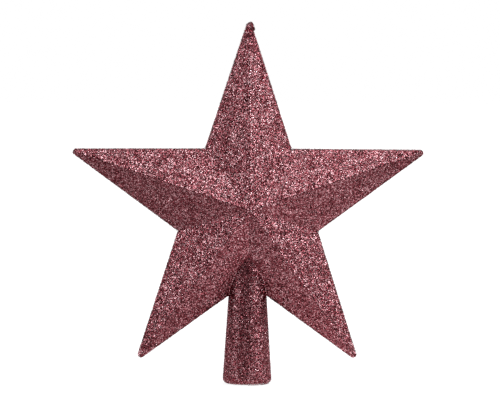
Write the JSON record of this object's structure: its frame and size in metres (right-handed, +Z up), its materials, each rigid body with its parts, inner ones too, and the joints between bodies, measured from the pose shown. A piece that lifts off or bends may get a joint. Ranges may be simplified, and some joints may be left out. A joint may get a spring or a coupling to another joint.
{
  "type": "christmas tree topper",
  "caption": "Hollow faceted star with a tapered open tube below it that slides over the leader shoot at the top of a tree, coated all over in fine glitter.",
  "frame": {"origin": "centre of the open mouth of the socket tube, on the tube's axis, where the tree's leader shoot goes in", "axes": "+Z up along the tube's axis through the star's centre and top point; the front of the star faces -Y; the two halves meet on the plane Y = 0"},
  "size_m": [0.1834, 0.044, 0.1879],
  "materials": {
    "moulded_plastic": "dusty-rose moulded plastic, satin inside the tube",
    "glitter_coat": "fine metallic dusty-rose glitter flakes in clear adhesive over the whole outside"
  },
  "bodies": {
    "root": {"front_shell": "moulded_plastic", "rear_shell": "moulded_plastic"}
  },
  "joints": []
}
